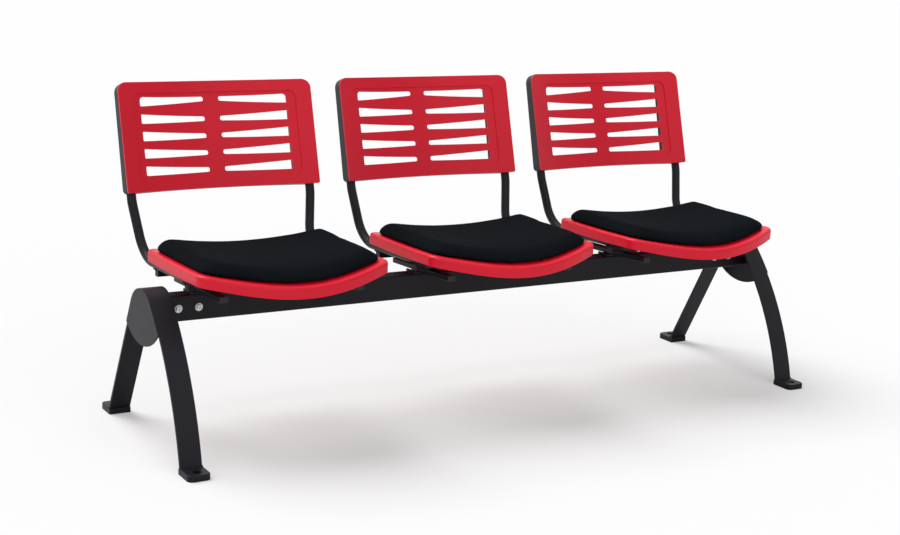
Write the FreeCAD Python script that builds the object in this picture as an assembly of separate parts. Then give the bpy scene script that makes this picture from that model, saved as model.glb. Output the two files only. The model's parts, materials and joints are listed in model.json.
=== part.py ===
"""Three-seat beam seating: two bent-bar legs, one box beam and three seats.

Everything is in millimetres, with +Z up and +X along the beam. Parts are first
placed about the middle of the beam, over the floor. At the end the whole
object is shifted along Y so that the origin lies under its middle.
"""
import FreeCAD
import Part

import math
import os

V = FreeCAD.Vector

# Seats along the beam
seat_names = ("left", "middle", "right")
seat_pitch = 570.0
leg_offset = 265.7

# Beam: a rectangular tube lying on edge
beam_height = 60.0
beam_depth = 40.0
beam_wall = 2.5
beam_corner = 4.0
beam_top = 337.5

# Legs: one flat bar each, bent over a round crown
bar_width = 50.0
bar_thick = 6.0
leg_top = 353.3
crown_radius = 73.0
crown_y = 5.0
front_top_angle = 44.0
front_bend_radius = 700.0
rear_angle = 27.4
shield_thick = 3.0
shield_bottom = 226.0
shield_radius = 141.0
shield_y = 8.5

# Feet
foot_width = 52.0
foot_height = 14.0
foot_toe = 52.0
foot_heel = 3.0
foot_corner = 12.0
foot_edge = 2.0
foot_hole_radius = 4.5
foot_sink_radius = 9.0
foot_sink_depth = 6.0
foot_hole_inset = 21.0

# Beam stubs, welded to the leg shields and bolted inside the beam
stub_clearance = 0.3
stub_wall = 3.0
stub_insert = 105.0
beam_bolt_inset = 24.0
beam_bolt_spacing = 48.0

# Bolts and screws
bolt_radius = 4.0
bolt_head_radius = 6.5
bolt_head_height = 5.0
bolt_head_edge = 0.8
bolt_socket = 5.0
bolt_socket_depth = 3.0
washer_radius = 9.0
washer_thick = 1.6
nut_flats = 13.0
nut_height = 6.5
bolt_clearance = 0.2
spot_clearance = 0.5
screw_radius = 2.5
screw_head_radius = 5.0
screw_head_height = 3.0
screw_head_edge = 1.5
screw_clearance = 0.2

# Seat frame under each shell, tilted up towards the front
frame_tilt = 2.56
frame_base = 340.5
support_x = 165.0
support_width = 20.0
support_height = 13.0
support_wall = 2.0
support_front = -150.0
support_foot_length = 50.0
crossbar_front = -57.0
crossbar_rear = 122.0
crossbar_height = 17.0
crossbar_depth = 18.0
crossbar_wall = 2.0
tube_radius = 11.0
tube_wall = 2.0
tube_skirt_gap = 4.0
tube_back_inset = 16.5
tube_front = -125.0
tube_corner_y = 204.0
tube_bend_radius = 70.0
tube_kink_radius = 150.0
tube_kink_drop = 18.0
tube_in_back = 80.0
tube_fit = 0.2
cap_plate = 2.0
cap_insert = 8.0

# Backrest: a red front panel on a black rear shell, both hollow in plan
back_tilt = 16.8
back_base_y = 221.5
back_base_z = 523.0
back_width = 489.0
back_height = 257.0
back_top_corner = 23.0
back_bottom_corner = 5.0
back_hollow = 43.5
back_arch_radius = 4300.0
panel_thick = 4.0
field_side_margin = 37.5
field_bottom = 24.0
field_top_margin = 25.0
field_corner = 18.0
field_step = 3.0
slot_rows = 5
slot_pitch = 40.6
slot_first = 51.5
slot_side_margin = 20.0
slot_inner = 19.0
slot_outer_height = 22.5
slot_inner_height = 11.0
slot_outer_corner = 3.0
slot_top_corner = 10.0
slot_top_rise = 7.0
shell_side_depth = 40.0
shell_centre_depth = 62.0
shell_taper = 8.0
shell_corner = 11.0
shell_wall = 2.5
shell_edge = 8.0
window_side_margin = 50.5
window_bottom = 30.0
window_top_margin = 22.0
window_corner = 10.0
window_gap = 1.0
tube_depth = 27.0
socket_wall = 3.0
back_screw_heights = (22.0, 58.0)

# Seat shell: a dished moulding with a turned-down rim
seat_half = 230.0
seat_rear = 148.0
seat_rear_bow = 8.0
seat_rear_radius = 20.0
seat_front_corner = -170.0
seat_nose = -231.0
seat_front_radius = 37.0
seat_wall = 4.0
seat_edge = 7.0
rim_depth_rear = 27.0
rim_depth_front = 25.0
rim_stations = (
    (190.0, 412.0, 397.0),
    (90.0, 410.0, 398.0),
    (-10.0, 411.0, 399.5),
    (-90.0, 414.0, 400.0),
    (-160.0, 417.0, 397.5),
    (-231.0, 418.0, 386.5),
    (-270.0, 418.0, 379.0),
)
tube_room = 2.0
boss_x = 120.0
boss_radius = 11.0
boss_pilot_depth = 16.0
boss_reach = 60.0
shell_headroom = 100.0

# Seat pad: an upholstered cushion that follows the shell
pad_gap = 0.3
pad_inset = 17.0
pad_front_inset = 26.0
pad_rear_radius = 24.0
pad_front_radius = 46.0
pad_side_rear_thick = 37.0
pad_side_front_thick = 27.0
pad_centre_thick = 22.0
pad_edge = 10.0
pad_side_pull = 6.0

# Derived places
tube_bottom_x = seat_half - seat_wall - tube_skirt_gap - tube_radius
tube_top_x = back_width / 2 - tube_back_inset
crossbar_half = tube_bottom_x
field_half_width = back_width / 2 - field_side_margin
field_top = back_height - field_top_margin
slot_outer = field_half_width - slot_side_margin
window_half_width = back_width / 2 - window_side_margin
window_top = back_height - window_top_margin
leg_x = seat_pitch * (len(seat_names) - 1) / 2 + leg_offset
leg_inner = leg_x - bar_width / 2
leg_outer = leg_x + bar_width / 2
beam_bottom = beam_top - beam_height
beam_middle = beam_top - beam_height / 2
crown_z = leg_top - crown_radius
support_rear = crossbar_rear - crossbar_depth / 2
crossbar_top = support_height + crossbar_height
tube_level = crossbar_top + tube_radius


def rounded_outline(corners):
    """Closed wire in XY through (x, y, radius) corners, each rounded to its radius."""
    edges = []
    ends = []
    count = len(corners)
    for i in range(count):
        x, y, radius = corners[i]
        here = V(x, y, 0)
        back = V(corners[i - 1][0], corners[i - 1][1], 0) - here
        ahead = V(corners[(i + 1) % count][0], corners[(i + 1) % count][1], 0) - here
        back.normalize()
        ahead.normalize()
        half = back.getAngle(ahead) / 2
        reach = radius / math.tan(half)
        middle = back + ahead
        middle.normalize()
        apex = here + middle * (radius / math.sin(half) - radius)
        ends.append((here + back * reach, apex, here + ahead * reach))
    for i in range(count):
        start, apex, stop = ends[i]
        if corners[i][2] > 0:
            edges.append(Part.Arc(start, apex, stop).toShape())
        following = ends[(i + 1) % count][0]
        if (following - stop).Length > 1e-6:
            edges.append(Part.LineSegment(stop, following).toShape())
    return Part.Wire(edges)


def prism(wire, low, high):
    """Solid between two levels of Z over a closed wire in XY."""
    face = Part.Face(wire)
    face.translate(V(0, 0, low))
    return face.extrude(V(0, 0, high - low))


def box(x0, x1, y0, y1, z0, z1):
    """Box between two corners."""
    return Part.makeBox(x1 - x0, y1 - y0, z1 - z0, V(x0, y0, z0))


def rod(x, y, low, high, radius):
    """Upright cylinder between two levels of Z."""
    return Part.makeCylinder(radius, high - low, V(x, y, low))


def box_tube(width, depth, length, wall, corner):
    """Rectangular tube along +Z, centred on its axis, with rounded edges."""
    outer = prism(centred_rectangle(width, depth, corner), 0, length)
    inner_corner = max(corner - wall, 0.5)
    inner = prism(centred_rectangle(width - 2 * wall, depth - 2 * wall, inner_corner), 0, length)
    return outer.cut(inner)


def centred_rectangle(width, depth, corner):
    """Rounded rectangle about the origin."""
    x, y = width / 2, depth / 2
    return rounded_outline([(-x, -y, corner), (x, -y, corner), (x, y, corner), (-x, y, corner)])


def along_x(shape, start):
    """Turn a shape built along +Z to lie along +X from a given X, its X facing down."""
    shape.rotate(V(0, 0, 0), V(0, 1, 0), 90)
    shape.translate(V(start, 0, 0))
    return shape


def along_y(shape, start):
    """Turn a shape built along +Z to lie along +Y from a given Y."""
    shape.rotate(V(0, 0, 0), V(1, 0, 0), -90)
    shape.translate(V(0, start, 0))
    return shape


def mirrored(shape):
    """Copy of a shape on the other side of X = 0."""
    return shape.mirror(V(0, 0, 0), V(1, 0, 0))


def hexagon(flats, low, high):
    """Hexagonal prism about the Z axis."""
    radius = flats / math.sqrt(3)
    turns = [math.radians(60 * i) for i in range(6)]
    return prism(rounded_outline([(radius * math.cos(a), radius * math.sin(a), 0) for a in turns]), low, high)


def bolt_set(length):
    """Cap bolt pointing down from Z = 0, with a washer at each end and a nut."""
    head_base = washer_thick
    head = rod(0, 0, head_base, head_base + bolt_head_height, bolt_head_radius)
    top = head_base + bolt_head_height
    head = head.makeChamfer(bolt_head_edge, [e for e in head.Edges if e.BoundBox.ZMin > top - 0.01])
    head = head.cut(hexagon(bolt_socket, top - bolt_socket_depth, top + 1))
    nut_top = -length - washer_thick
    stem = rod(0, 0, nut_top - nut_height - 2, head_base, bolt_radius)
    pieces = [head.fuse(stem).removeSplitter()]
    for low in (0, -length - washer_thick):
        ring = rod(0, 0, low, low + washer_thick, washer_radius)
        pieces.append(ring.cut(rod(0, 0, low - 1, low + washer_thick + 1, bolt_radius + bolt_clearance)))
    nut = hexagon(nut_flats, nut_top - nut_height, nut_top)
    pieces.append(nut.cut(rod(0, 0, nut_top - nut_height, nut_top, bolt_radius)))
    return Part.Compound(pieces)


# Beam and legs

def beam_bolt_places():
    """X distance from the middle of the beam to each end bolt."""
    first = leg_inner - beam_bolt_inset
    return (first, first - beam_bolt_spacing)


def bolt_holes_along_y(places, height):
    """Bolt clearance holes through the beam at the given X places."""
    holes = []
    for x in places:
        hole = Part.makeCylinder(bolt_radius + bolt_clearance, beam_depth + 2,
                                 V(x, -beam_depth / 2 - 1, height), V(0, 1, 0))
        holes.append(hole)
    return holes


def make_beam():
    """Box beam between the two legs, drilled for the end bolts and the seat bolts."""
    tube = box_tube(beam_height, beam_depth, 2 * leg_inner, beam_wall, beam_corner)
    tube = along_x(tube, -leg_inner)
    tube.translate(V(0, 0, beam_middle))
    places = [s * x for s in (-1, 1) for x in beam_bolt_places()]
    cuts = bolt_holes_along_y(places, beam_middle)
    for centre in seat_centres():
        for side in (-1, 1):
            cuts.append(rod(centre + side * support_x, 0, beam_top - beam_wall - 1, beam_top + 1,
                            bolt_radius + bolt_clearance))
    return tube.cut(Part.Compound(cuts))


def seat_centres():
    """X of each seat."""
    half = (len(seat_names) - 1) / 2
    return [(i - half) * seat_pitch for i in range(len(seat_names))]


def leg_path(inset):
    """Side outline of the leg bar, at a depth below its outer face, front foot to rear foot."""
    radius = crown_radius - inset
    a = math.radians(front_top_angle)
    b = math.radians(rear_angle)
    front = V(0, crown_y - radius * math.cos(a), crown_z + radius * math.sin(a))
    top = V(0, crown_y, crown_z + radius)
    rear = V(0, crown_y + radius * math.cos(b), crown_z + radius * math.sin(b))
    bend = front_bend_radius - inset
    centre = front + V(0, math.cos(a), -math.sin(a)) * bend
    foot_angle = math.asin((foot_height - centre.z) / bend)
    foot = centre + V(0, -math.cos(foot_angle), math.sin(foot_angle)) * bend
    half_angle = (a + foot_angle) / 2
    mid = centre + V(0, -math.cos(half_angle), math.sin(half_angle)) * bend
    rear_foot = rear + V(0, math.tan(b), -1) * (rear.z - foot_height)
    return foot, mid, front, top, rear, rear_foot


def path_edges(points):
    """Edges of the leg outline through its six points."""
    foot, mid, front, top, rear, rear_foot = points
    return [
        Part.Arc(foot, mid, front).toShape(),
        Part.Arc(front, top, rear).toShape(),
        Part.LineSegment(rear, rear_foot).toShape(),
    ]


def make_leg_bar():
    """Flat bar bent into the leg, from foot to foot, on the right side."""
    outer = leg_path(0)
    inner = leg_path(bar_thick)
    edges = path_edges(outer)
    edges.append(Part.LineSegment(outer[-1], inner[-1]).toShape())
    edges += path_edges(inner)
    edges.append(Part.LineSegment(inner[0], outer[0]).toShape())
    face = Part.Face(Part.Wire(Part.sortEdges(edges)[0]))
    face.translate(V(leg_inner, 0, 0))
    return face.extrude(V(bar_width, 0, 0))


def make_shield():
    """Plate on the outer side of the leg, closed below by a round edge."""
    edges = path_edges(leg_path(0))
    foot, rear_foot = leg_path(0)[0], leg_path(0)[-1]
    edges.append(Part.LineSegment(rear_foot, foot).toShape())
    face = Part.Face(Part.Wire(Part.sortEdges(edges)[0]))
    face.translate(V(leg_outer, 0, 0))
    plate = face.extrude(V(shield_thick, 0, 0))
    disc = Part.makeCylinder(shield_radius, shield_thick,
                             V(leg_outer, shield_y, shield_bottom + shield_radius), V(1, 0, 0))
    return plate.common(disc)


def make_stub():
    """Square stub on the shield that the end of the beam slides over."""
    height = beam_height - 2 * (beam_wall + stub_clearance)
    depth = beam_depth - 2 * (beam_wall + stub_clearance)
    tube = box_tube(height, depth, bar_width + stub_insert, stub_wall, beam_corner - 1)
    tube = along_x(tube, leg_inner - stub_insert)
    tube.translate(V(0, 0, beam_middle))
    nut_room = rod(seat_centres()[-1] + support_x, 0, beam_middle, beam_top, washer_radius + 1)
    return tube.cut(Part.Compound(bolt_holes_along_y(beam_bolt_places(), beam_middle))).cut(nut_room)


def make_foot(direction, bar_face, bar_back):
    """Floor pad under the end of a leg bar, pointing forwards (-1) or backwards (1)."""
    toe = bar_face + direction * foot_toe
    heel = bar_back - direction * foot_heel
    x = foot_width / 2
    corners = [(-x, heel, 2.0), (x, heel, 2.0), (x, toe, foot_corner), (-x, toe, foot_corner)]
    pad = prism(rounded_outline(corners), 0, foot_height)
    rim = [e for e in pad.Edges if e.BoundBox.ZMin > foot_height - 0.01
           and abs(e.BoundBox.Center.y - heel) > foot_toe / 2 + foot_heel]
    pad = pad.makeFillet(foot_edge, rim)
    y = toe - direction * foot_hole_inset
    pad = pad.cut(rod(0, y, -1, foot_height + 1, foot_hole_radius))
    pad = pad.cut(rod(0, y, foot_height - foot_sink_depth, foot_height + 1, foot_sink_radius))
    pad.translate(V(leg_x, 0, 0))
    return pad


def make_feet():
    """Front and rear floor pads of the right leg."""
    outer, inner = leg_path(0), leg_path(bar_thick)
    front = make_foot(-1, outer[0].y, inner[0].y)
    rear = make_foot(1, outer[-1].y, inner[-1].y)
    return front, rear


def make_beam_bolts():
    """Two bolts through one end of the beam, with their washers and nuts."""
    sets = []
    for x in beam_bolt_places():
        bolt = bolt_set(beam_depth)
        bolt.rotate(V(0, 0, 0), V(1, 0, 0), 90)
        bolt.translate(V(x, -beam_depth / 2, beam_middle))
        sets += bolt.Solids
    return Part.Compound(sets)


# Seat frame, in its own level frame before it is tilted

def tilted(shape):
    """Tip a frame part up towards the front and put it at its height over the beam."""
    shape.rotate(V(0, 0, 0), V(1, 0, 0), -frame_tilt)
    shape.translate(V(0, 0, frame_base))
    return shape


def support_bolt_seat():
    """Height of the level spot face on a support bar over the beam's top."""
    lean = math.radians(frame_tilt)
    return frame_base + support_height / math.cos(lean) - washer_radius * math.tan(lean) - beam_top


def make_support_bar():
    """Box bar from the rear crossbar over the beam, with a flat foot welded under it."""
    length = support_rear - support_front
    bar = box_tube(support_width, support_height, length, support_wall, 2.0)
    bar = along_y(bar, support_front)
    bar.translate(V(0, 0, support_height / 2))
    bar = tilted(bar)
    half = support_foot_length / 2
    foot = box(-half, half, -beam_depth / 2, beam_depth / 2, beam_top, frame_base + support_wall)
    above = box(-support_width, support_width, -beam_depth, beam_depth, 0, support_height)
    foot = foot.cut(tilted(above))
    bolt = rod(0, 0, beam_top - 1, beam_top + 2 * support_height, bolt_radius + bolt_clearance)
    level = beam_top + support_bolt_seat()
    spot = rod(0, 0, level, level + support_height, washer_radius + spot_clearance)
    return bar.fuse(foot).removeSplitter().cut(bolt).cut(spot)


def make_crossbar(y, screws):
    """Box bar across the seat frame, drilled for the shell screws."""
    bar = box_tube(crossbar_height, crossbar_depth, 2 * crossbar_half, crossbar_wall, 2.0)
    bar = along_x(bar, -crossbar_half)
    bar.translate(V(0, y, support_height + crossbar_height / 2))
    holes = [rod(x, y, support_height - 1, crossbar_top + 1, screw_radius + screw_clearance) for x in screws]
    return tilted(bar.cut(Part.Compound(holes)))


def back_point(depth, height):
    """Point in the YZ plane at a depth behind the back's front face and a height up it."""
    a = math.radians(back_tilt)
    y = back_base_y + depth * math.cos(a) + height * math.sin(a)
    z = back_base_z - depth * math.sin(a) + height * math.cos(a)
    return y, z


def frame_point(y, level):
    """Point in the YZ plane at a place on the tilted seat frame."""
    a = math.radians(frame_tilt)
    return y * math.cos(a) + level * math.sin(a), frame_base - y * math.sin(a) + level * math.cos(a)


def tube_corners():
    """Corner points of the right-hand tube's centre line, front end to top end."""
    front = V(tube_bottom_x, *frame_point(tube_front, tube_level))
    low = V(tube_bottom_x, *frame_point(tube_corner_y, tube_level))
    kink = V(tube_top_x, *back_point(tube_depth, -tube_kink_drop))
    top = V(tube_top_x, *back_point(tube_depth, tube_in_back))
    return front, low, kink, top


def bent_path(points, radii):
    """Wire of straight runs joined by tangent arcs of the given radii."""
    edges = []
    start = points[0]
    for i, radius in enumerate(radii):
        here = points[i + 1]
        back = (points[i] - here).normalize()
        ahead = (points[i + 2] - here).normalize()
        half = back.getAngle(ahead) / 2
        reach = radius / math.tan(half)
        enter = here + back * reach
        leave = here + ahead * reach
        middle = (back + ahead).normalize()
        apex = here + middle * (radius / math.sin(half) - radius)
        edges.append(Part.LineSegment(start, enter).toShape())
        edges.append(Part.Arc(enter, apex, leave).toShape())
        start = leave
    edges.append(Part.LineSegment(start, points[-1]).toShape())
    return Part.Wire(edges)


def swept_rod(path, radius):
    """Round rod of a radius along a path."""
    first = path.Edges[0]
    start = first.valueAt(first.FirstParameter)
    direction = first.tangentAt(first.FirstParameter)
    ring = Part.Wire(Part.makeCircle(radius, start, direction))
    return path.makePipeShell([ring], True, False)


def make_tube():
    """Bent tube that carries the shell at its foot and the back at its top."""
    path = bent_path(tube_corners(), (tube_bend_radius, tube_kink_radius))
    outer = swept_rod(path, tube_radius)
    inner = swept_rod(path, tube_radius - tube_wall)
    holes = [back_screw_hole(height, tube_depth) for height in back_screw_heights]
    return outer.cut(inner).cut(Part.Compound(holes))


def in_back(shape):
    """Place a part built as X, height up the back and depth towards -Z at its real place."""
    shape.rotate(V(0, 0, 0), V(1, 0, 0), 90 - back_tilt)
    shape.translate(V(0, back_base_y, back_base_z))
    return shape


def back_screw_hole(height, depth):
    """Clearance hole for a screw from the rear face of the back to a depth, right side."""
    return in_back(rod(tube_top_x, height, -shell_centre_depth, -depth, screw_radius + screw_clearance))


def make_cap(width, height, wall, corner):
    """Plug for the end of a box bar, its plate lying on Z = 0 and its stem below."""
    plate = prism(centred_rectangle(width, height, corner), 0, cap_plate)
    fit = 2 * (wall + tube_fit)
    stem = prism(centred_rectangle(width - fit, height - fit, 0.8), -cap_insert, 0)
    return plate.fuse(stem).removeSplitter()


def make_frame_caps():
    """Plugs in the open ends of the seat frame's bars and tubes."""
    caps = []
    for y in (crossbar_front, crossbar_rear):
        cap = make_cap(crossbar_height, crossbar_depth, crossbar_wall, 2.0)
        cap = along_x(cap, crossbar_half)
        cap.translate(V(0, y, support_height + crossbar_height / 2))
        cap = tilted(cap)
        caps += [cap, mirrored(cap)]
    cap = make_cap(support_width, support_height, support_wall, 2.0)
    cap.rotate(V(0, 0, 0), V(1, 0, 0), 90)
    cap.translate(V(support_x, support_front, support_height / 2))
    cap = tilted(cap)
    caps += [cap, mirrored(cap)]
    plate = rod(0, 0, 0, cap_plate, tube_radius)
    stem = rod(0, 0, -cap_insert, 0, tube_radius - tube_wall - tube_fit)
    cap = plate.fuse(stem).removeSplitter()
    cap.rotate(V(0, 0, 0), V(1, 0, 0), 90)
    cap.translate(V(tube_bottom_x, tube_front, tube_level))
    cap = tilted(cap)
    caps += [cap, mirrored(cap)]
    return Part.Compound(caps)


def make_support_bolts():
    """Bolt through each support bar and the beam's upper wall, with its nut in the beam."""
    seat = support_bolt_seat()
    pieces = []
    for side in (-1, 1):
        x = side * support_x
        bolt = bolt_set(seat + beam_wall)
        bolt.translate(V(x, 0, beam_top + seat))
        pieces += bolt.Solids
    return Part.Compound(pieces)


def make_shell_screws():
    """Screws up through the crossbars into the bosses of the shell."""
    screws = []
    for y in (crossbar_front, crossbar_rear):
        for x in (-boss_x, boss_x):
            head = rod(x, y, support_height - screw_head_height, support_height, screw_head_radius)
            edge = [e for e in head.Edges if e.BoundBox.ZMax < support_height - screw_head_height + 0.01]
            head = head.makeChamfer(screw_head_edge, edge)
            stem = rod(x, y, support_height - 1, crossbar_top + boss_pilot_depth - 2, screw_radius)
            screws.append(tilted(head.fuse(stem).removeSplitter()))
    return Part.Compound(screws)


# Backrest, built as X, height up the back and depth towards -Z

def arched_outline(x, low, high, bottom, top):
    """Upright outline whose lower and upper edges both arch upwards in the middle."""
    low_peak = low + x * (x - 2 * bottom) / back_arch_radius
    high_peak = high + x * (x - 2 * top) / back_arch_radius
    return rounded_outline([
        (-x, low, bottom),
        (0, low_peak, back_arch_radius),
        (x, low, bottom),
        (x, high, top),
        (0, high_peak, back_arch_radius),
        (-x, high, top),
    ])


def back_outline(inset, bottom_corner):
    """Outline of the back, drawn in by an inset."""
    x = back_width / 2 - inset
    return arched_outline(x, inset, back_height - inset, bottom_corner - inset, back_top_corner - inset)


def hollow_depth(side, centre, x):
    """Depth of a surface that is an arc in plan, at a distance from the middle."""
    half = back_width / 2
    rise = centre - side
    radius = (half ** 2 + rise ** 2) / (2 * rise)
    return centre - radius + math.sqrt(radius ** 2 - x ** 2)


def in_front_of(side, centre):
    """Block of all that lies in front of a surface that is an arc in plan."""
    reach = back_width / 2 + 5
    edge = -hollow_depth(side, centre, reach)
    front = 20.0
    arc = Part.Arc(V(-reach, edge, 0), V(0, -centre, 0), V(reach, edge, 0)).toShape()
    lines = [
        Part.LineSegment(V(reach, edge, 0), V(reach, front, 0)).toShape(),
        Part.LineSegment(V(reach, front, 0), V(-reach, front, 0)).toShape(),
        Part.LineSegment(V(-reach, front, 0), V(-reach, edge, 0)).toShape(),
    ]
    block = prism(Part.Wire([arc] + lines), -2 * back_height, back_height)
    block.rotate(V(0, 0, 0), V(1, 0, 0), 90)
    return block


def panel_block(extra):
    """All that lies in front of the panel's face moved back by an extra depth."""
    return in_front_of(extra, back_hollow + extra)


def rear_block(inset):
    """All that lies in front of the shell's rear face, which leans in towards the top."""
    block = in_front_of(shell_side_depth - inset, shell_centre_depth - inset)
    block.rotate(V(0, 0, 0), V(1, 0, 0), math.degrees(math.atan(shell_taper / back_height)))
    return block


def field_prism(grow, low, high):
    """Prism over the panel's recessed field, grown by a wall."""
    x = field_half_width + grow
    bottom, top = field_bottom - grow, field_top + grow
    corner = field_corner + grow
    return prism(arched_outline(x, bottom, top, corner, corner), low, high)


def slot_outline(row):
    """Tapered slot of the right column: tall and square outside, narrow and round inside."""
    centre = slot_first + row * slot_pitch
    outer = slot_outer_height / 2
    inner = slot_inner_height / 2
    is_top = row == slot_rows - 1
    rise = slot_top_rise if is_top else 0
    corner = slot_top_corner if is_top else slot_outer_corner
    round_end = inner - 0.3
    return rounded_outline([
        (slot_inner, centre - inner + rise, round_end),
        (slot_outer, centre - outer, slot_outer_corner),
        (slot_outer, centre + outer, corner),
        (slot_inner, centre + inner + rise, round_end),
    ])


def make_back_panel():
    """Front panel: a hollow sheet with a recessed field and two columns of tapered slots."""
    far = -back_hollow - field_step - 2 * panel_thick
    sheet = prism(back_outline(0, back_bottom_corner), far, 0)
    sheet = sheet.common(panel_block(panel_thick)).cut(panel_block(0))
    tray = field_prism(panel_thick, far, 0).common(panel_block(field_step + panel_thick)).cut(panel_block(0))
    recess = field_prism(0, far, 1).common(panel_block(field_step))
    panel = sheet.fuse(tray).cut(recess).removeSplitter()
    slots = []
    for row in range(slot_rows):
        slot = prism(slot_outline(row), far, 0)
        slots += [slot, mirrored(slot)]
    return in_back(panel.cut(Part.Compound(slots)))


def shell_body(inset):
    """Full body of the rear shell behind the panel's sheet, drawn in by a wall."""
    far = -shell_centre_depth - 1
    body = prism(back_outline(inset, shell_corner), far, 0).common(rear_block(inset))
    rear = [e for e in body.Edges if e.BoundBox.ZMax < -panel_thick - shell_edge]
    return body.makeFillet(shell_edge - inset, rear).cut(panel_block(panel_thick))


def window_prism(grow, low, high):
    """Prism over the window in the rear shell, grown by a wall."""
    x = window_half_width + grow
    bottom, top = window_bottom - grow, window_top + grow
    corner = window_corner + grow
    return prism(arched_outline(x, bottom, top, corner, corner), low, high)


def make_back_shell():
    """Rear shell: a deep hollow frame round the window, with a socket for each tube."""
    far = -shell_centre_depth - 2
    outer = shell_body(0)
    frame = outer.cut(shell_body(shell_wall))
    wall = window_prism(shell_wall, far, 0).common(outer)
    wall = wall.cut(panel_block(panel_thick + field_step + window_gap))
    frame = frame.fuse(wall).cut(window_prism(0, far, 1))
    for side in (-1, 1):
        sleeve = Part.makeCylinder(tube_radius + socket_wall, tube_in_back + socket_wall,
                                   V(side * tube_top_x, 0, -tube_depth), V(0, 1, 0))
        bore = Part.makeCylinder(tube_radius + tube_fit, tube_in_back + tube_fit + 1,
                                 V(side * tube_top_x, -1, -tube_depth), V(0, 1, 0))
        frame = frame.fuse(sleeve.common(outer)).cut(bore)
    frame = in_back(frame.removeSplitter())
    holes = [back_screw_hole(height, tube_depth) for height in back_screw_heights]
    holes += [mirrored(hole) for hole in holes]
    return frame.cut(Part.Compound(holes))


def make_back_screws():
    """Screws from behind through the rear shell into the tubes."""
    screws = []
    slope = (hollow_depth(shell_side_depth, shell_centre_depth, tube_top_x - screw_head_radius)
             - hollow_depth(shell_side_depth, shell_centre_depth, tube_top_x + screw_head_radius))
    turn = math.degrees(math.atan(slope / (2 * screw_head_radius)))
    lean = math.degrees(math.atan(shell_taper / back_height))
    for height in back_screw_heights:
        depth = hollow_depth(shell_side_depth, shell_centre_depth, tube_top_x)
        depth -= height * shell_taper / back_height
        head = rod(0, 0, -screw_head_height, 0, screw_head_radius)
        edge = [e for e in head.Edges if e.BoundBox.ZMax < -screw_head_height + 0.01]
        head = head.makeChamfer(screw_head_edge, edge)
        head.rotate(V(0, 0, 0), V(0, 1, 0), -turn)
        head.rotate(V(0, 0, 0), V(1, 0, 0), lean)
        head.translate(V(tube_top_x, height, -depth))
        stem = rod(tube_top_x, height, -depth - 1, -tube_depth - 2, screw_radius)
        screw = in_back(head.fuse(stem).removeSplitter())
        screws += [screw, mirrored(screw)]
    return Part.Compound(screws)


# Seat shell and pad

def end_corner(half, centre_y, arc_radius, radius, way):
    """Three points of the right corner between a straight side and an arc across an end."""
    x = half - radius
    outwards = V(x, way * math.sqrt((arc_radius - radius) ** 2 - x ** 2), 0)
    centre = V(0, centre_y, 0) + outwards
    outwards.normalize()
    between = V(1, 0, 0) + outwards
    between.normalize()
    return centre + V(radius, 0, 0), centre + between * radius, centre + outwards * radius


def seat_outline(inset, front_inset, rear_radius, front_radius):
    """Plan of the seat, drawn in: bowed rear edge, straight sides and an arc across the front."""
    half = seat_half - inset
    front_rise = seat_front_corner - seat_nose
    front_arc = (seat_half ** 2 + front_rise ** 2) / (2 * front_rise)
    rear_arc = (seat_half ** 2 + seat_rear_bow ** 2) / (2 * seat_rear_bow)
    nose = seat_nose + front_inset
    tail = seat_rear + seat_rear_bow - inset
    front = end_corner(half, seat_nose + front_arc, front_arc - front_inset, front_radius, -1)
    rear = end_corner(half, tail + inset - rear_arc, rear_arc - inset, rear_radius, 1)
    across = [V(-p.x, p.y, 0) for p in front]
    behind = [V(-p.x, p.y, 0) for p in rear]
    return Part.Wire([
        Part.Arc(*front).toShape(),
        Part.Arc(front[2], V(0, nose, 0), across[2]).toShape(),
        Part.Arc(*reversed(across)).toShape(),
        Part.LineSegment(across[0], behind[0]).toShape(),
        Part.Arc(*behind).toShape(),
        Part.Arc(behind[2], V(0, tail, 0), rear[2]).toShape(),
        Part.Arc(*reversed(rear)).toShape(),
        Part.LineSegment(rear[0], front[0]).toShape(),
    ])


def shell_outline(inset):
    """Plan of the shell, drawn in by a wall."""
    return seat_outline(inset, inset, seat_rear_radius - inset, seat_front_radius - inset)


def pad_outline(pull):
    """Plan of the pad, drawn in by a pull."""
    return seat_outline(pad_inset + pull, pad_front_inset + pull,
                        pad_rear_radius - pull, pad_front_radius - pull)


def dished_block(stations, half_width, under):
    """Loft across the seat: a dished top over arcs, with a level underside."""
    wires = []
    for y, side, centre in stations:
        left = V(-half_width, y, side)
        right = V(half_width, y, side)
        down_right = V(half_width, y, under)
        down_left = V(-half_width, y, under)
        wires.append(Part.Wire([
            Part.Arc(left, V(0, y, centre), right).toShape(),
            Part.LineSegment(right, down_right).toShape(),
            Part.LineSegment(down_right, down_left).toShape(),
            Part.LineSegment(down_left, left).toShape(),
        ]))
    return Part.makeLoft(wires, True, False)


def raised_stations(rear_side, front_side, rear_centre, front_centre):
    """Stations of the shell's top, raised by amounts that change evenly from rear to front."""
    raised = []
    rear = rim_stations[0][0]
    front = rim_stations[-1][0]
    for y, side, centre in rim_stations:
        share = (rear - y) / (rear - front)
        side += rear_side + share * (front_side - rear_side)
        centre += rear_centre + share * (front_centre - rear_centre)
        raised.append((y, side, centre))
    return raised


def level_stations(rise):
    """Stations of the shell's top, raised by one amount."""
    return raised_stations(rise, rise, rise, rise)


def make_boss(x, y, solid):
    """Screw boss between a crossbar and the underside of the shell, with its pilot hole."""
    boss = tilted(rod(x, y, crossbar_top, crossbar_top + boss_reach, boss_radius))
    pilot = tilted(rod(x, y, crossbar_top - 1, crossbar_top + boss_pilot_depth, screw_radius))
    return boss.common(solid).cut(pilot)


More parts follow.
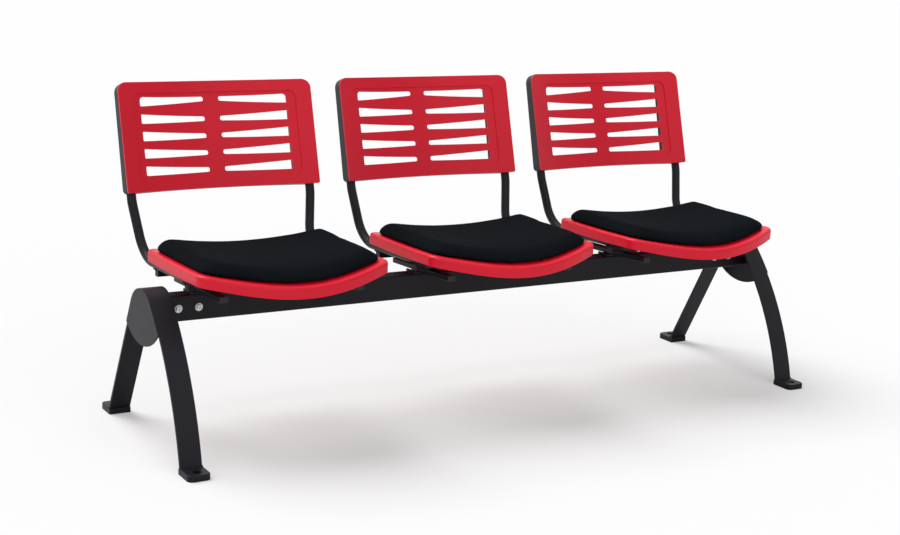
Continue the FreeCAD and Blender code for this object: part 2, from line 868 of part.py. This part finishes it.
def make_seat_shell():
    """Moulded seat: thin dished pan, turned-down rim and four screw bosses."""
    base = beam_bottom
    high = rim_stations[0][1] + shell_headroom
    top = dished_block(rim_stations, seat_half + seat_wall, base)
    solid = prism(shell_outline(0), base, high).common(top)
    upper = [e for e in solid.Edges if e.BoundBox.ZMin > beam_top]
    solid = solid.makeFillet(seat_edge, upper)
    hollow = prism(shell_outline(seat_wall), base - 1, high)
    hollow = hollow.common(dished_block(level_stations(-seat_wall), seat_half + seat_wall, base - 1))
    rear, front = -rim_depth_rear, -rim_depth_front
    rim = raised_stations(rear, front, rear, front)
    below = dished_block(rim, seat_half + 2 * seat_wall, base - 1)
    bosses = [make_boss(x, y, solid) for y in (crossbar_front, crossbar_rear) for x in (-boss_x, boss_x)]
    shell = solid.cut(hollow).cut(below)
    room = Part.makeCylinder(tube_radius + tube_room, 2 * tube_bend_radius,
                             V(tube_bottom_x, seat_rear - tube_bend_radius, tube_level), V(0, 1, 0))
    room = tilted(room)
    shell = shell.cut(Part.Compound([room, mirrored(room)]))
    return shell.multiFuse(bosses).removeSplitter()


def make_seat_pad():
    """Upholstered pad: it follows the dish, and its sides draw in towards its crowned top."""
    low = beam_top
    high = rim_stations[0][1] + pad_side_rear_thick
    crown = raised_stations(pad_side_rear_thick, pad_side_front_thick, pad_centre_thick, pad_centre_thick)
    foot = pad_outline(0)
    head = pad_outline(pad_side_pull)
    foot.translate(V(0, 0, rim_stations[-1][2] + pad_gap))
    head.translate(V(0, 0, high))
    column = Part.makeLoft([foot, head], True, True)
    block = column.common(dished_block(crown, seat_half, low))
    upper = [e for e in block.Edges if e.BoundBox.ZMin > rim_stations[-1][2] + pad_edge]
    block = block.makeFillet(pad_edge, upper)
    return block.cut(dished_block(level_stations(pad_gap), seat_half + seat_wall, low - 1))


# Assembly

def build():
    """Every sub-part by name, placed about the middle of the beam."""
    parts = {"beam": make_beam()}
    front_foot, rear_foot = make_feet()
    right_side = {
        "leg_bar": make_leg_bar(),
        "leg_shield": make_shield(),
        "beam_stub": make_stub(),
        "front_foot": front_foot,
        "rear_foot": rear_foot,
        "beam_bolts": make_beam_bolts(),
    }
    for name, shape in right_side.items():
        parts["right_" + name] = shape
        parts["left_" + name] = mirrored(shape)
    for seat, centre in zip(seat_names, seat_centres()):
        for name, shape in make_seat().items():
            moved = shape.copy()
            moved.translate(V(centre, 0, 0))
            parts[seat + "_" + name] = moved
    return parts


_seat = {}


def make_seat():
    """Sub-parts of one seat about X = 0, built once."""
    if not _seat:
        support = make_support_bar()
        support.translate(V(support_x, 0, 0))
        tube = make_tube()
        screws = (-boss_x, boss_x)
        _seat.update({
            "seat_shell": make_seat_shell(),
            "seat_pad": make_seat_pad(),
            "back_panel": make_back_panel(),
            "back_shell": make_back_shell(),
            "frame_tube_r": tube,
            "frame_tube_l": mirrored(tube),
            "support_bar_r": support,
            "support_bar_l": mirrored(support),
            "front_crossbar": make_crossbar(crossbar_front, screws),
            "rear_crossbar": make_crossbar(crossbar_rear, screws),
            "support_bolts": make_support_bolts(),
            "shell_screws": make_shell_screws(),
            "back_screws": make_back_screws(),
            "frame_caps": make_frame_caps(),
        })
    return _seat


def main():
    """Centre the object over the origin and write one file per sub-part."""
    os.makedirs("parts", exist_ok=True)
    parts = build()
    reach = Part.Compound(list(parts.values())).optimalBoundingBox()
    shift = V(0, -(reach.YMin + reach.YMax) / 2, 0)
    for name, shape in parts.items():
        shape.translate(shift)
        shape.exportStep("parts/" + name + ".step")
    print("parts", len(parts), "shift", round(shift.y, 2))


main()
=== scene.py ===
"""Looks of the three-seat beam seating: finishes, upholstered pads, weld beads, studio."""

import json
import math

import bmesh
import bpy
from mathutils import Matrix, Vector, noise
from mathutils.bvhtree import BVHTree


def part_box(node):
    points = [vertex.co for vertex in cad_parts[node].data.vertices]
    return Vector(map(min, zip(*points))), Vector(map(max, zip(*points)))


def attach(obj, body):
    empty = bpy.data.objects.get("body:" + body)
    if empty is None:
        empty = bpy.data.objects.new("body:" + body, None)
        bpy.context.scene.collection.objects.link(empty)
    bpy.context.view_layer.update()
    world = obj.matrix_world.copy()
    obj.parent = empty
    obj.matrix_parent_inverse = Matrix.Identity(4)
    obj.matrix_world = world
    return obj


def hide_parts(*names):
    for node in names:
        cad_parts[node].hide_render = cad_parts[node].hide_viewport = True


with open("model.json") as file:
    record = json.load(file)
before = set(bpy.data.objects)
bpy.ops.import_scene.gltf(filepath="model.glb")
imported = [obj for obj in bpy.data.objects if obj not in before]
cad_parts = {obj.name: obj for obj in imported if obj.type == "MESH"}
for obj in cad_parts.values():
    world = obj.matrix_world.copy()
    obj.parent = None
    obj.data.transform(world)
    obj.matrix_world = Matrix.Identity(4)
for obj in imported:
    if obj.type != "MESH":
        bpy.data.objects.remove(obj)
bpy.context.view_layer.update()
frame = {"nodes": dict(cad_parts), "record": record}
nodes = frame["nodes"]

MM = 0.001
SEATS = ("left", "middle", "right")
SIDES = ("left", "right")

# Camera place, from the point on the floor under the middle of the beam
CAMERA_PLACE = Vector((-2075.1, -3255.1, 1224.6)) * MM
CAMERA_YAW = 31.52
CAMERA_PITCH = 13.04
CAMERA_ROLL = 2.72
CAMERA_LENS = 64.5
CAMERA_SENSOR = 36.0

# Studio
FLOOR_HALF = 40.0
FLOOR_COLOUR = (0.745, 0.745, 0.745)
FLOOR_GLOW = 0.32
SKY_STRENGTH = 0.36
KEY_STRENGTH = 2.9
KEY_SOFTNESS = 46.0
KEY_ANGLE = (-27.0, -18.0)
FILL_STRENGTH = 1.0
FILL_SOFTNESS = 90.0
FILL_ANGLE = (52.0, -22.0)

# Patterns: how rough the clouds are, and how many radians of a wave Blender fits in a unit
NOISE_ROUGHNESS = 0.55
WAVE_TURN = 20.0

# Upholstery
PAD_SHRINK = 1.6 * MM
PAD_VOXEL = 5.0 * MM
PAD_PRESSURE = 4.0
PAD_FRAMES = 20
PAD_SWELL = 3.6 * MM
PAD_REST = 1.2 * MM
PAD_RISE = 16.0 * MM
PAD_EASE = 9
PAD_WIDEN = 5.0 * MM
PAD_FORWARD = 8.0 * MM
PAD_OVERHANG = 7.0 * MM
PAD_EDGE_SHARE = 0.56
PAD_EDGE_RUN = 38.0 * MM
PAD_FRONT_ARC = 438.0 * MM
PAD_SIDE_THICK = 32.0 * MM
PAD_SIDE_ROUND = 0.6
PAD_EASE_SHARE = 0.5
PAD_FOLD = 0.35 * MM
FOLD_SCALE = 9.0
FOLD_STEP = 7.0
MERGE_DISTANCE = 0.01 * MM
WEAVE_PITCH = 1.3 * MM
THREAD_WAVER = 0.6

# Weld beads, and where the feet, leg bars and tubes that they join have their edges
BEAD_RADIUS = 1.9 * MM
BEAD_STEP = 2.4 * MM
BEAD_LEAST = 0.82
BEAD_MOST = 1.12
BEAD_ROUNDS = 2
BEAD_SINK = 0.4
BEAD_SEED = 11
FOOT_TOE = 52.0 * MM
BAR_HALF = 25.0 * MM
TUBE_WELD_SIDE = 6.0 * MM


class Value:
    """A number socket that takes part in sums, so that a finish reads like its formula."""

    def __init__(self, finish, socket):
        self.finish = finish
        self.socket = socket

    def maths(self, operation, *values):
        return self.finish.node("ShaderNodeMath", {"operation": operation}, *values)

    def __add__(self, other):
        return self.maths("ADD", self, other)

    __radd__ = __add__

    def __mul__(self, other):
        return self.maths("MULTIPLY", self, other)

    __rmul__ = __mul__

    def between(self, low, high):
        """0 below low, 1 above high, straight in between."""
        settings = {"clamp": True}
        return self.finish.node("ShaderNodeMapRange", settings, self, low, high, 0.0, 1.0)


class Finish:
    """A material under construction."""

    def __init__(self, name):
        self.material = bpy.data.materials.new(name)
        self.material.use_nodes = True
        self.tree = self.material.node_tree
        self.shader = self.tree.nodes["Principled BSDF"]
        self.place = self.node("ShaderNodeTexCoord", {}, output="Object")

    def node(self, kind, settings, *values, output=0, **named):
        """Add a node: its settings first, then the values or links of its sockets."""
        made = self.tree.nodes.new(kind)
        for name, setting in settings.items():
            setattr(made, name, setting)
        for place, value in list(enumerate(values)) + list(named.items()):
            key = place.replace("_", " ") if isinstance(place, str) else place
            self.feed(made.inputs[key], value)
        return Value(self, made.outputs[output])

    def feed(self, socket, value):
        """Link a value into a socket, or set it there."""
        if isinstance(value, Value):
            self.tree.links.new(value.socket, socket)
        else:
            socket.default_value = value

    def noise(self, scale, detail):
        """Soft random pattern from 0 to 1, its scale in cells per metre."""
        return self.node("ShaderNodeTexNoise", {}, Vector=self.place, Scale=scale, Detail=detail,
                         Roughness=NOISE_ROUGHNESS, output="Fac")

    def threads(self, direction, pitch):
        """Parallel threads across a direction, one to each pitch."""
        settings = {"wave_type": "BANDS", "bands_direction": direction}
        return self.node("ShaderNodeTexWave", settings, Vector=self.place,
                         Distortion=THREAD_WAVER, Detail=1.0,
                         Scale=2.0 * math.pi / (WAVE_TURN * pitch), output="Fac")

    def colours(self, factor, first, second):
        """Blend of two colours."""
        made = self.tree.nodes.new("ShaderNodeMix")
        made.data_type = "RGBA"
        sockets = {s.identifier: s for s in made.inputs}
        self.feed(sockets["Factor_Float"], factor)
        self.feed(sockets["A_Color"], (*first, 1.0))
        self.feed(sockets["B_Color"], (*second, 1.0))
        return Value(self, [s for s in made.outputs if s.identifier == "Result_Color"][0])

    def bump(self, height, distance):
        """Relief of a height pattern, its depth in metres."""
        return self.node("ShaderNodeBump", {}, Height=height, Distance=distance, Strength=1.0,
                         output="Normal")

    def coat(self, **sockets):
        """Set the shader's own sockets by name."""
        for name, value in sockets.items():
            self.feed(self.shader.inputs[name.replace("_", " ")], value)
        return self.material


def powder_coat():
    """Black powder-coated steel: fine orange peel, faint dust and rubbed patches."""
    finish = Finish("black powder coat")
    cloud = finish.noise(9.0, 4.0)
    rub = finish.noise(38.0, 5.0).between(0.52, 0.78)
    peel = finish.noise(700.0, 2.0)
    speck = finish.noise(2600.0, 1.0)
    return finish.coat(
        Base_Color=finish.colours(cloud * 0.5 + rub * 0.35,
                                  (0.0085, 0.0078, 0.0110), (0.0180, 0.0168, 0.0225)),
        Roughness=0.34 + cloud * 0.12 + rub * 0.08,
        Specular_IOR_Level=0.13,
        Normal=finish.bump(peel * 0.8 + speck * 0.2, 0.00012),
    )


def zinc_plate():
    """Bright zinc on bolts, washers and screws."""
    finish = Finish("zinc plate")
    cloud = finish.noise(160.0, 4.0)
    scratch = finish.noise(1900.0, 3.0)
    return finish.coat(
        Base_Color=finish.colours(cloud, (0.60, 0.60, 0.62), (0.44, 0.43, 0.41)),
        Metallic=1.0,
        Roughness=0.26 + cloud * 0.18 + scratch * 0.1,
        Normal=finish.bump(scratch, 0.00003),
    )


def red_moulding():
    """Red moulded plastic: satin gloss with a fine grain, flow shade and light scuffs."""
    finish = Finish("red moulding")
    flow = finish.noise(5.0, 3.0)
    scuff = finish.noise(60.0, 6.0).between(0.58, 0.8)
    grain = finish.noise(1500.0, 2.0)
    return finish.coat(
        Base_Color=finish.colours(flow, (0.60, 0.0040, 0.021), (0.71, 0.0065, 0.027)),
        Roughness=0.30 + flow * 0.08 + scuff * 0.14,
        Specular_IOR_Level=0.22,
        Normal=finish.bump(grain, 0.00004),
    )


def black_moulding():
    """Black textured plastic of the rear shells and end plugs."""
    finish = Finish("black moulding")
    cloud = finish.noise(12.0, 3.0)
    grain = finish.noise(1300.0, 3.0)
    return finish.coat(
        Base_Color=finish.colours(cloud, (0.014, 0.014, 0.016), (0.024, 0.023, 0.026)),
        Roughness=0.5 + cloud * 0.12 + grain * 0.06,
        Specular_IOR_Level=0.3,
        Normal=finish.bump(grain, 0.0001),
    )


def woven_fabric():
    """Black woven cover: two crossed sets of threads, lint and slight wear."""
    finish = Finish("woven cover")
    warp, weft = (finish.threads(direction, WEAVE_PITCH) for direction in ("X", "Y"))
    weave = warp * 0.5 + weft * 0.5
    cloud = finish.noise(14.0, 4.0)
    lint = finish.noise(420.0, 3.0).between(0.66, 0.8)
    return finish.coat(
        Base_Color=finish.colours(cloud * 0.5 + weave * 0.35 + lint * 0.3,
                                  (0.0030, 0.0044, 0.0056), (0.0066, 0.0086, 0.0106)),
        Roughness=0.86 + cloud * 0.1,
        Sheen_Weight=0.003,
        Sheen_Roughness=0.45,
        Specular_IOR_Level=0.014,
        Normal=finish.bump(weave * 0.7 + finish.noise(900.0, 2.0) * 0.3, 0.0003),
    )


def dress_frame():
    """Give every node of the frame its finish."""
    finishes = {
        "black_steel": powder_coat(),
        "zinc_steel": zinc_plate(),
        "red_plastic": red_moulding(),
        "black_plastic": black_moulding(),
        "black_fabric": woven_fabric(),
    }
    for entry in frame["record"]["subparts"]:
        materials = nodes[entry["node"]].data.materials
        materials.clear()
        materials.append(finishes[entry["material_slot"]])
    return finishes


def add_piece(name, mesh, material):
    """Put a mesh in the scene as a piece that rides on the seating."""
    piece = bpy.data.objects.new(name, mesh)
    bpy.context.scene.collection.objects.link(piece)
    mesh.materials.clear()
    mesh.materials.append(material)
    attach(piece, "root")
    return piece


def finished_mesh(piece, name):
    """Plain mesh of a piece with all its modifiers applied."""
    graph = bpy.context.evaluated_depsgraph_get()
    mesh = bpy.data.meshes.new_from_object(piece.evaluated_get(graph))
    mesh.name = name
    return mesh


def merged_copy(node, name):
    """Closed copy of a node's mesh."""
    mesh = nodes[node].data.copy()
    mesh.name = name
    work = bmesh.new()
    work.from_mesh(mesh)
    bmesh.ops.remove_doubles(work, verts=work.verts, dist=MERGE_DISTANCE)
    work.to_mesh(mesh)
    work.free()
    return mesh


def pad_blank():
    """Evenly meshed pad, drawn in a little so that it can swell to its size."""
    mesh = merged_copy("middle_seat_pad", "pad blank")
    blank = bpy.data.objects.new("pad blank", mesh)
    bpy.context.scene.collection.objects.link(blank)
    shrink = blank.modifiers.new("draw in", "DISPLACE")
    shrink.strength = -PAD_SHRINK
    shrink.mid_level = 0.0
    even = blank.modifiers.new("even mesh", "REMESH")
    even.mode = "VOXEL"
    even.voxel_size = PAD_VOXEL
    even.use_smooth_shade = True
    mesh = finished_mesh(blank, "pad blank")
    bpy.data.objects.remove(blank)
    shape_pad(mesh)
    return mesh


def ground_under(tree, x, y, fallback):
    """Height of the shell's upper face under a point."""
    hit = tree.ray_cast(Vector((x, y, 1.0)), Vector((0, 0, -1)))[0]
    return hit.z if hit else fallback


def shape_pad(mesh):
    """Widen the pad over the rim, thin its edge and let its side swell out over its base."""
    low, high = (Vector(corner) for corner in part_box("middle_seat_pad"))
    half = (high.x - low.x) / 2
    middle_x = (high.x + low.x) / 2
    middle_y = (high.y + low.y) / 2
    shell = nodes["middle_seat_shell"].data
    tree = BVHTree.FromPolygons([v.co for v in shell.vertices],
                                [p.vertices for p in shell.polygons])
    normals = [v.normal.copy() for v in mesh.vertices]
    for vertex, normal in zip(mesh.vertices, normals):
        point = vertex.co
        x = point.x - middle_x
        ahead = point.y - low.y - x * x / (2 * PAD_FRONT_ARC)
        inside = max(min(half - abs(x), ahead, high.y - point.y), 0.0)
        base = ground_under(tree, point.x, point.y, low.z)
        thick = max(point.z - base, 0.0)
        ease = min(inside / PAD_EDGE_RUN, 1.0)
        share = PAD_EDGE_SHARE + (1 - PAD_EDGE_SHARE) * math.sin(ease * math.pi / 2)
        wide = middle_x + x * (1 + PAD_WIDEN / half)
        forward = point.y
        if point.y < middle_y:
            forward -= PAD_FORWARD * (middle_y - point.y) / (middle_y - low.y)
        height = ground_under(tree, wide, forward, base) + thick * share
        fill = min(thick / PAD_SIDE_THICK, 1.0)
        swell = PAD_OVERHANG * math.sin(math.pi * fill ** PAD_SIDE_ROUND)
        vertex.co = (wide + normal.x * swell, forward + normal.y * swell, height)


def pad_reach(point, low):
    """How far a point of the pad may move: little near its base, more on the crown."""
    rise = min(max((point.z - low) / PAD_RISE, 0.0), 1.0)
    return PAD_REST + (PAD_SWELL - PAD_REST) * rise


def blown_up(mesh):
    """Let the cover swell under pressure and keep each point near its start."""
    cover = bpy.data.objects.new("cover", mesh)
    bpy.context.scene.collection.objects.link(cover)
    start = [v.co.copy() for v in mesh.vertices]
    cloth = cover.modifiers.new("cover", "CLOTH")
    cloth.settings.use_pressure = True
    cloth.settings.uniform_pressure_force = PAD_PRESSURE
    cloth.settings.effector_weights.gravity = 0.0
    cloth.point_cache.frame_end = PAD_FRAMES
    for step in range(1, PAD_FRAMES + 1):
        bpy.context.scene.frame_set(step)
    mesh = finished_mesh(cover, "cover")
    bpy.context.scene.frame_set(1)
    bpy.data.objects.remove(cover)
    base = min(p.z for p in start)
    for vertex, origin in zip(mesh.vertices, start):
        move = vertex.co - origin
        reach = pad_reach(origin, base)
        if move.length > reach:
            vertex.co = origin + move * (reach / move.length)
    return mesh


def make_pads(material):
    """Three upholstered pads: one cover is blown up, and each seat gets its own slight folds."""
    cover = blown_up(pad_blank())
    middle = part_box("middle_seat_pad")
    centre = (middle[0][0] + middle[1][0]) / 2
    for number, seat in enumerate(SEATS):
        node = seat + "_seat_pad"
        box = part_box(node)
        shift = Vector(((box[0][0] + box[1][0]) / 2 - centre, 0, 0))
        mesh = cover.copy()
        mesh.name = seat + " cover"
        for vertex in mesh.vertices:
            wave = noise.noise(vertex.co * FOLD_SCALE + Vector((0, 0, FOLD_STEP * number)))
            vertex.co += vertex.normal * (wave * PAD_FOLD) + shift
        pad = add_piece(seat + "_pad_cover", mesh, material)
        ease = pad.modifiers.new("ease", "SMOOTH")
        ease.factor = PAD_EASE_SHARE
        ease.iterations = PAD_EASE
        smooth = pad.modifiers.new("smooth", "SUBSURF")
        smooth.levels = 1
        smooth.render_levels = 1
        finished = finished_mesh(pad, seat + " cover")
        pad.modifiers.clear()
        pad.data = finished
        finished.polygons.foreach_set("use_smooth", [True] * len(finished.polygons))
        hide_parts(node)


def weld_group(material):
    """Geometry nodes that lay a row of weld beads along every line of a mesh."""
    tree = bpy.data.node_groups.new("weld beads", "GeometryNodeTree")
    sockets = {}
    for name, kind, way in (("Lines", "NodeSocketGeometry", "INPUT"),
                            ("Bead Radius", "NodeSocketFloat", "INPUT"),
                            ("Bead Step", "NodeSocketFloat", "INPUT"),
                            ("Seed", "NodeSocketInt", "INPUT"),
                            ("Beads", "NodeSocketGeometry", "OUTPUT")):
        made = tree.interface.new_socket(name, in_out=way, socket_type=kind)
        sockets[name] = made.identifier

    def node(kind, settings, **links):
        made = tree.nodes.new(kind)
        for name, setting in settings.items():
            setattr(made, name, setting)
        for name, value in links.items():
            socket = made.inputs[name.replace("_", " ")]
            if isinstance(value, bpy.types.NodeSocket):
                tree.links.new(value, socket)
            else:
                socket.default_value = value
        return made.outputs

    given = tree.nodes.new("NodeGroupInput").outputs
    curve = node("GeometryNodeMeshToCurve", {}, Mesh=given["Lines"])["Curve"]
    even = node("GeometryNodeResampleCurve", {"mode": "LENGTH"},
                Curve=curve, Length=given["Bead Step"])["Curve"]
    bead = node("GeometryNodeMeshIcoSphere", {},
                Radius=given["Bead Radius"], Subdivisions=BEAD_ROUNDS)["Mesh"]
    sizes = node("FunctionNodeRandomValue", {"data_type": "FLOAT"}, Seed=given["Seed"])[0].node
    least, most = [s for s in sizes.inputs if s.enabled and s.type == "VALUE"]
    least.default_value = BEAD_LEAST
    most.default_value = BEAD_MOST
    size = [s for s in sizes.outputs if s.enabled][0]
    beads = node("GeometryNodeInstanceOnPoints", {},
                 Points=even, Instance=bead, Scale=size)["Instances"]
    solid = node("GeometryNodeRealizeInstances", {}, Geometry=beads)["Geometry"]
    painted = node("GeometryNodeSetMaterial", {}, Geometry=solid, Material=material)["Geometry"]
    result = tree.nodes.new("NodeGroupOutput")
    tree.links.new(painted, result.inputs["Beads"])
    return tree, sockets


def weld_lines():
    """Ends of every weld that shows: at the feet, and where the tubes lie on the crossbars."""
    lines = []
    for side in SIDES:
        for end, way in (("front", -1), ("rear", 1)):
            low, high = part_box(side + "_" + end + "_foot")
            x = (low[0] + high[0]) / 2
            toe = low[1] if way < 0 else high[1]
            y = toe - way * (FOOT_TOE - BEAD_RADIUS * BEAD_SINK)
            lines.append(((x - BAR_HALF, y, high[2]), (x + BAR_HALF, y, high[2])))
    for seat in SEATS:
        for bar in ("front", "rear"):
            low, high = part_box(seat + "_" + bar + "_crossbar")
            for end in (low[0], high[0]):
                for side in (-1, 1):
                    x = end + side * TUBE_WELD_SIDE
                    start = (x, low[1] + BEAD_RADIUS, high[2])
                    lines.append((start, (x, high[1] - BEAD_RADIUS, high[2])))
    return lines


def make_welds(material):
    """Rows of small weld beads on the frame, as one piece."""
    points = []
    edges = []
    for start, stop in weld_lines():
        edges.append((len(points), len(points) + 1))
        points += [start, stop]
    mesh = bpy.data.meshes.new("weld lines")
    mesh.from_pydata(points, edges, [])
    lines = bpy.data.objects.new("weld lines", mesh)
    bpy.context.scene.collection.objects.link(lines)
    tree, sockets = weld_group(material)
    beads = lines.modifiers.new("weld beads", "NODES")
    beads.node_group = tree
    beads[sockets["Bead Radius"]] = BEAD_RADIUS
    beads[sockets["Bead Step"]] = BEAD_STEP
    beads[sockets["Seed"]] = BEAD_SEED
    mesh = finished_mesh(lines, "weld beads")
    bpy.data.objects.remove(lines)
    mesh.polygons.foreach_set("use_smooth", [True] * len(mesh.polygons))
    add_piece("weld_beads", mesh, material)


def make_floor():
    """Pale floor that reads white in the picture and keeps the shadow."""
    mesh = bpy.data.meshes.new("floor")
    corners = [(-FLOOR_HALF, -FLOOR_HALF, 0), (FLOOR_HALF, -FLOOR_HALF, 0),
               (FLOOR_HALF, FLOOR_HALF, 0), (-FLOOR_HALF, FLOOR_HALF, 0)]
    mesh.from_pydata(corners, [], [(0, 1, 2, 3)])
    floor = bpy.data.objects.new("floor", mesh)
    bpy.context.scene.collection.objects.link(floor)
    finish = Finish("studio floor")
    finish.coat(Base_Color=(*FLOOR_COLOUR, 1.0), Roughness=0.9, Specular_IOR_Level=0.0)
    seen = finish.node("ShaderNodeLightPath", {}, output="Is Camera Ray")
    glow = finish.node("ShaderNodeEmission", {}, Color=(1.0, 1.0, 1.0, 1.0), Strength=1.0)
    mixed = finish.tree.nodes.new("ShaderNodeMixShader")
    finish.feed(mixed.inputs[0], seen * FLOOR_GLOW)
    finish.tree.links.new(finish.shader.outputs[0], mixed.inputs[1])
    finish.tree.links.new(glow.socket, mixed.inputs[2])
    finish.tree.links.new(mixed.outputs[0], finish.tree.nodes["Material Output"].inputs["Surface"])
    mesh.materials.append(finish.material)


def make_sky():
    """Even pale surroundings, white to the camera and in reflections."""
    world = bpy.data.worlds.new("studio")
    bpy.context.scene.world = world
    world.use_nodes = True
    tree = world.node_tree
    light = tree.nodes["Background"]
    white = tree.nodes.new("ShaderNodeBackground")
    for background, strength in ((light, SKY_STRENGTH), (white, 1.0)):
        background.inputs["Color"].default_value = (1.0, 1.0, 1.0, 1.0)
        background.inputs["Strength"].default_value = strength
    rays = tree.nodes.new("ShaderNodeLightPath")
    seen = tree.nodes.new("ShaderNodeMath")
    seen.operation = "MAXIMUM"
    tree.links.new(rays.outputs["Is Camera Ray"], seen.inputs[0])
    tree.links.new(rays.outputs["Is Glossy Ray"], seen.inputs[1])
    mixed = tree.nodes.new("ShaderNodeMixShader")
    tree.links.new(seen.outputs[0], mixed.inputs[0])
    tree.links.new(light.outputs[0], mixed.inputs[1])
    tree.links.new(white.outputs[0], mixed.inputs[2])
    tree.links.new(mixed.outputs[0], tree.nodes["World Output"].inputs["Surface"])


def make_lamps():
    """A broad lamp from above, a little behind and left, and a broader one from the front."""
    lamps = (("key", KEY_STRENGTH, KEY_SOFTNESS, KEY_ANGLE),
             ("fill", FILL_STRENGTH, FILL_SOFTNESS, FILL_ANGLE))
    for name, strength, softness, (back, side) in lamps:
        light = bpy.data.lights.new(name, "SUN")
        light.energy = strength
        light.angle = math.radians(softness)
        lamp = bpy.data.objects.new(name, light)
        lamp.rotation_euler = (math.radians(back), math.radians(side), 0.0)
        bpy.context.scene.collection.objects.link(lamp)


def make_camera():
    """Camera at the photograph's place and angle."""
    yaw, pitch, roll = (math.radians(a) for a in (CAMERA_YAW, CAMERA_PITCH, CAMERA_ROLL))
    level = Vector((math.sin(yaw), math.cos(yaw), 0.0))
    ahead = level * math.cos(pitch) - Vector((0.0, 0.0, math.sin(pitch)))
    across = Vector((math.cos(yaw), -math.sin(yaw), 0.0))
    up = across.cross(ahead)
    right = across * math.cos(roll) + up * math.sin(roll)
    top = up * math.cos(roll) - across * math.sin(roll)
    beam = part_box("beam")
    middle = Vector(((beam[0][0] + beam[1][0]) / 2, (beam[0][1] + beam[1][1]) / 2, 0.0))
    data = bpy.data.cameras.new("camera")
    data.lens = CAMERA_LENS
    data.sensor_width = CAMERA_SENSOR
    camera = bpy.data.objects.new("camera", data)
    turn = Matrix((right, top, -ahead)).transposed().to_4x4()
    camera.matrix_world = Matrix.Translation(middle + CAMERA_PLACE) @ turn
    bpy.context.scene.collection.objects.link(camera)
    bpy.context.scene.camera = camera


finishes = dress_frame()
make_pads(finishes["black_fabric"])
make_welds(finishes["black_steel"])
make_floor()
make_sky()
make_lamps()
make_camera()
bpy.context.scene.view_settings.view_transform = "Standard"
